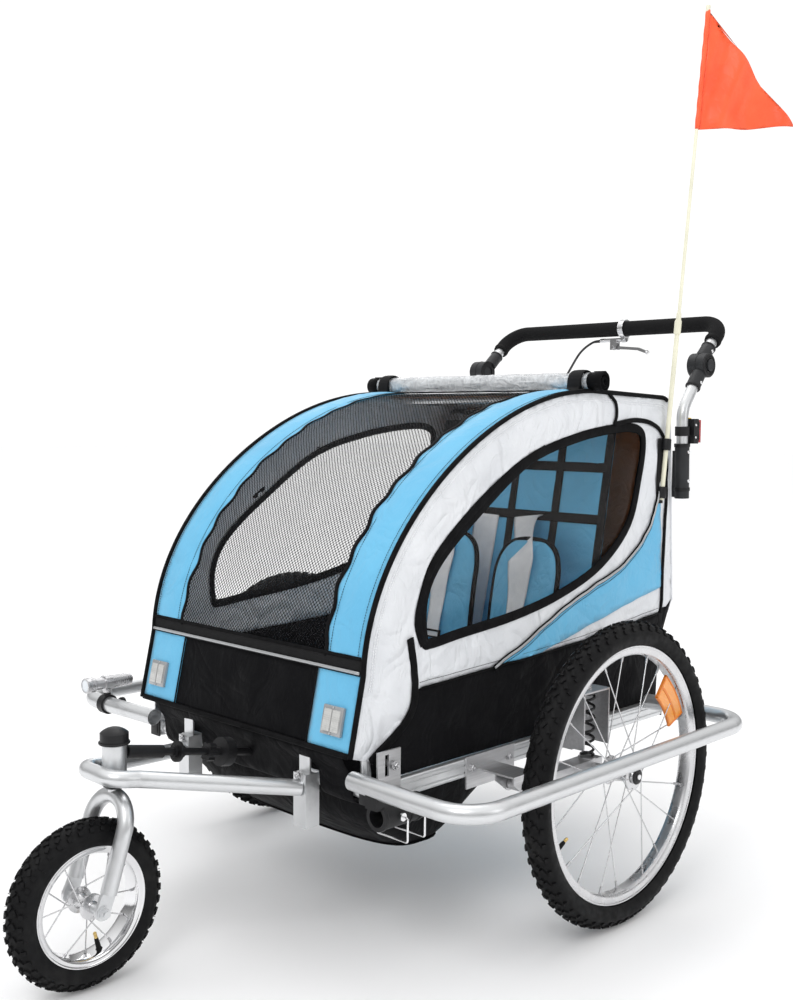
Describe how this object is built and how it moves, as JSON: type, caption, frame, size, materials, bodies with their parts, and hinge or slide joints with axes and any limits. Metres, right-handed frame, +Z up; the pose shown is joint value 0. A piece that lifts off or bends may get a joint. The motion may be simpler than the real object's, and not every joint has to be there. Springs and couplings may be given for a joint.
{
  "type": "child bicycle trailer",
  "caption": "Two-seat child bicycle trailer and jogger with a tube frame, fabric cabin, sprung rear wheels, swivelling front wheel, bumpers and a tilting push handle.",
  "frame": {"origin": "on the ground, at the middle of the length and width", "axes": "+Z up, -Y forward, +X to the left side of the trailer"},
  "size_m": [1.0082, 1.449, 1.6133],
  "materials": {
    "silver_tube": "satin",
    "steel_plate": "satin",
    "black_plastic": "matte",
    "bright_wire": "polished",
    "white_cloth": "matte",
    "clear_film": "gloss",
    "blue_cloth": "matte",
    "black_cloth": "matte",
    "webbing": "matte",
    "clear_reflector": "gloss",
    "red_lens": "gloss",
    "lamp_metal": "satin",
    "pole": "gloss",
    "flag_cloth": "matte",
    "cable_sheath": "satin",
    "black_spring": "gloss",
    "tyre_rubber": "matte",
    "rim_metal": "satin",
    "chrome": "polished",
    "amber": "gloss",
    "foam": "matte"
  },
  "bodies": {
    "frame": {"side_rails": "silver_tube", "cross_tubes": "silver_tube", "side_hoops": "silver_tube", "roof_bars": "silver_tube", "left_bumper": "silver_tube", "right_bumper": "silver_tube", "frame_brackets": "steel_plate", "spring_housings": "steel_plate", "tow_receiver": "black_plastic", "front_arm": "silver_tube", "head_tube": "silver_tube", "head_caps": "black_plastic", "stay_tube": "black_plastic", "left_side_panel": "white_cloth", "right_side_panel": "white_cloth", "side_windows": "clear_film", "front_cover": "blue_cloth", "front_apron": "black_cloth", "rear_panel": "white_cloth", "floor_bag": "black_cloth", "seat": "blue_cloth", "harness": "webbing", "rain_cover_roll": "clear_film", "cover_straps": "black_cloth", "front_reflectors": "clear_reflector", "handle_posts": "silver_tube", "post_sockets": "black_plastic", "tail_light": "black_plastic", "tail_lens": "red_lens", "lamp_clamp": "black_plastic", "flag_pole": "pole", "flag": "flag_cloth", "brake_cable": "cable_sheath", "left_spring": "black_spring", "right_spring": "black_spring"},
    "left_arm": {"left_swing_arm": "steel_plate"},
    "right_arm": {"right_swing_arm": "steel_plate"},
    "left_wheel": {"left_tyre": "tyre_rubber", "left_rim": "rim_metal", "left_hub": "chrome", "left_spoke_reflector": "amber"},
    "right_wheel": {"right_tyre": "tyre_rubber", "right_rim": "rim_metal", "right_hub": "chrome", "right_spoke_reflector": "amber"},
    "fork": {"fork": "silver_tube"},
    "front_wheel": {"front_tyre": "tyre_rubber", "front_rim": "chrome", "front_hub": "chrome"},
    "handle": {"handle_bar": "silver_tube", "foam_grip": "foam", "handle_knuckles": "black_plastic", "brake_bracket": "bright_wire"},
    "left_button": {"left_joint_button": "black_plastic"},
    "right_button": {"right_joint_button": "black_plastic"},
    "lever": {"brake_lever": "bright_wire"},
    "lamp": {"lamp": "lamp_metal"},
    "stay_knob": {"stay_knob": "black_plastic"},
    "front_tow_pin": {"front_tow_pin": "bright_wire"},
    "rear_tow_pin": {"rear_tow_pin": "bright_wire"}
  },
  "joints": [
    {"name": "left_suspension", "type": "hinge", "parent": "frame", "child": "left_arm", "pos_m": [0.35, -0.0395, 0.256], "axis": [1, 0, 0], "range_deg": [0, 5], "stiffness_Nm_per_rad": 400, "springref_deg": -5.73, "deforming": ["left_spring"]},
    {"name": "right_suspension", "type": "hinge", "parent": "frame", "child": "right_arm", "pos_m": [-0.35, -0.0395, 0.256], "axis": [1, 0, 0], "range_deg": [0, 5], "stiffness_Nm_per_rad": 400, "springref_deg": -5.73, "deforming": ["right_spring"]},
    {"name": "left_wheel_spin", "type": "hinge", "parent": "left_arm", "child": "left_wheel", "pos_m": [0.42, 0.1455, 0.252], "axis": [1, 0, 0], "continuous": true},
    {"name": "right_wheel_spin", "type": "hinge", "parent": "right_arm", "child": "right_wheel", "pos_m": [-0.42, 0.1455, 0.252], "axis": [1, 0, 0], "continuous": true},
    {"name": "fork_swivel", "type": "hinge", "parent": "frame", "child": "fork", "pos_m": [0, -0.5495, 0.3], "axis": [0, 0, 1], "continuous": true},
    {"name": "front_wheel_spin", "type": "hinge", "parent": "fork", "child": "front_wheel", "pos_m": [0, -0.5995, 0.125], "axis": [1, 0, 0], "continuous": true},
    {"name": "handle_tilt", "type": "hinge", "parent": "frame", "child": "handle", "pos_m": [0, 0.6055, 0.941], "axis": [1, 0, 0], "range_deg": [-60, 50], "deforming": ["brake_cable"]},
    {"name": "left_button_press", "type": "slide", "parent": "frame", "child": "left_button", "axis": [-1, 0, 0], "range_m": [0, 0.003], "stiffness_N_per_m": 800, "springref_m": -0.001},
    {"name": "right_button_press", "type": "slide", "parent": "frame", "child": "right_button", "axis": [1, 0, 0], "range_m": [0, 0.003], "stiffness_N_per_m": 800, "springref_m": -0.001},
    {"name": "brake_squeeze", "type": "hinge", "parent": "handle", "child": "lever", "pos_m": [0.012, 0.7055, 0.991], "axis": [0, -1, 0], "range_deg": [0, 12], "stiffness_Nm_per_rad": 0.6, "springref_deg": -11.46},
    {"name": "lamp_swivel", "type": "hinge", "parent": "frame", "child": "lamp", "pos_m": [-0.4, -0.3145, 0.34], "axis": [0, 0, 1], "range_deg": [-30, 30]},
    {"name": "stay_knob_turn", "type": "hinge", "parent": "frame", "child": "stay_knob", "pos_m": [0, -0.38446, 0.30624], "axis": [0, 0.9809, -0.1946], "continuous": true},
    {"name": "front_pin_swing", "type": "hinge", "parent": "frame", "child": "front_tow_pin", "pos_m": [0.308, -0.2805, 0.258], "axis": [1, 0, 0], "range_deg": [-40, 40]},
    {"name": "rear_pin_swing", "type": "hinge", "parent": "frame", "child": "rear_tow_pin", "pos_m": [0.308, -0.2445, 0.258], "axis": [1, 0, 0], "range_deg": [-40, 40]}
  ]
}
